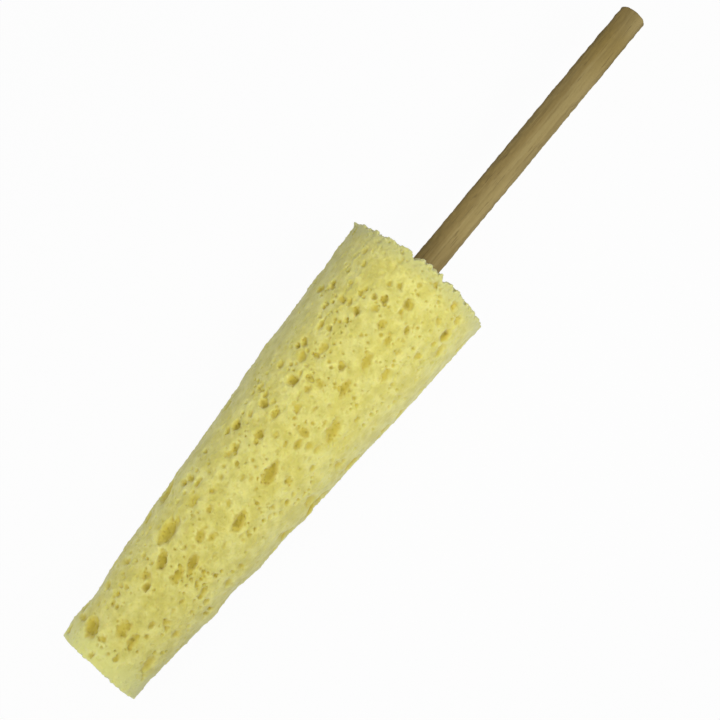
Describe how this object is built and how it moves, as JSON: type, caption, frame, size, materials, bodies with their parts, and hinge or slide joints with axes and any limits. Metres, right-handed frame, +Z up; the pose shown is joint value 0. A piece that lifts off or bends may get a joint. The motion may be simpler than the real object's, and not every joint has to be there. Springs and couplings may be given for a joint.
{
  "type": "bottle sponge",
  "caption": "Tapered open-pored sponge glued round a wooden dowel handle, for washing the inside of bottles, jars and tall glasses.",
  "frame": {"origin": "on the surface that the tool lies on, under the middle of its length and width", "axes": "+X towards the free end of the dowel, which rises a little from level; +Z up, away from the flat that the sponge lies on; +Y completes a right-handed frame"},
  "size_m": [0.3557, 0.0678, 0.0678],
  "materials": {
    "sponge_foam": "open-pored pale yellow foam, dull, amber inside the pores",
    "dowel_wood": "bare olive-brown wood, grain along the dowel, dull",
    "cured_glue": "cured amber glue, slightly glossy"
  },
  "bodies": {
    "root": {"sponge_head": "sponge_foam", "dowel_handle": "dowel_wood", "glue_sleeve": "cured_glue"}
  },
  "joints": []
}
